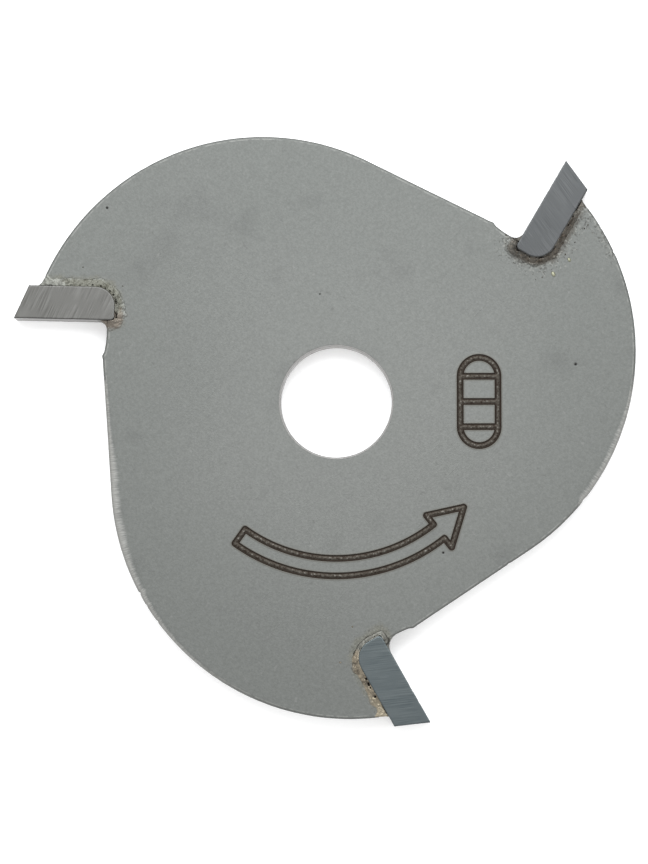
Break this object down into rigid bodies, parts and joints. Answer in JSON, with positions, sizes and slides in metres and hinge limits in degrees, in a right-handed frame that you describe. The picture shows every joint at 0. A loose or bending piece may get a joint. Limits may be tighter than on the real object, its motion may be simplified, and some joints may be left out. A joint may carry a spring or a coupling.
{
  "type": "slotting cutter",
  "caption": "Flat three-lobed steel router cutter disc with a plain arbor bore and hooked carbide tips brazed behind its gullets.",
  "frame": {"origin": "centre of the arbor bore, at half the steel body's thickness", "axes": "+Z along the bore out of the marked face; +X through the first tip's cutting point; the cutter turns counter-clockwise seen from +Z"},
  "size_m": [0.0442, 0.0428, 0.0032],
  "materials": {
    "body_steel": "fine blasted matte grey",
    "carbide": "ground, dark blue-grey, with fine grinding lines",
    "braze": "dull pale gold with brown stain and small pores"
  },
  "bodies": {
    "root": {"cutter_body": "body_steel", "carbide_tip_1": "carbide", "carbide_tip_2": "carbide", "carbide_tip_3": "carbide", "braze_joint_1": "braze", "braze_joint_2": "braze", "braze_joint_3": "braze"}
  },
  "joints": []
}
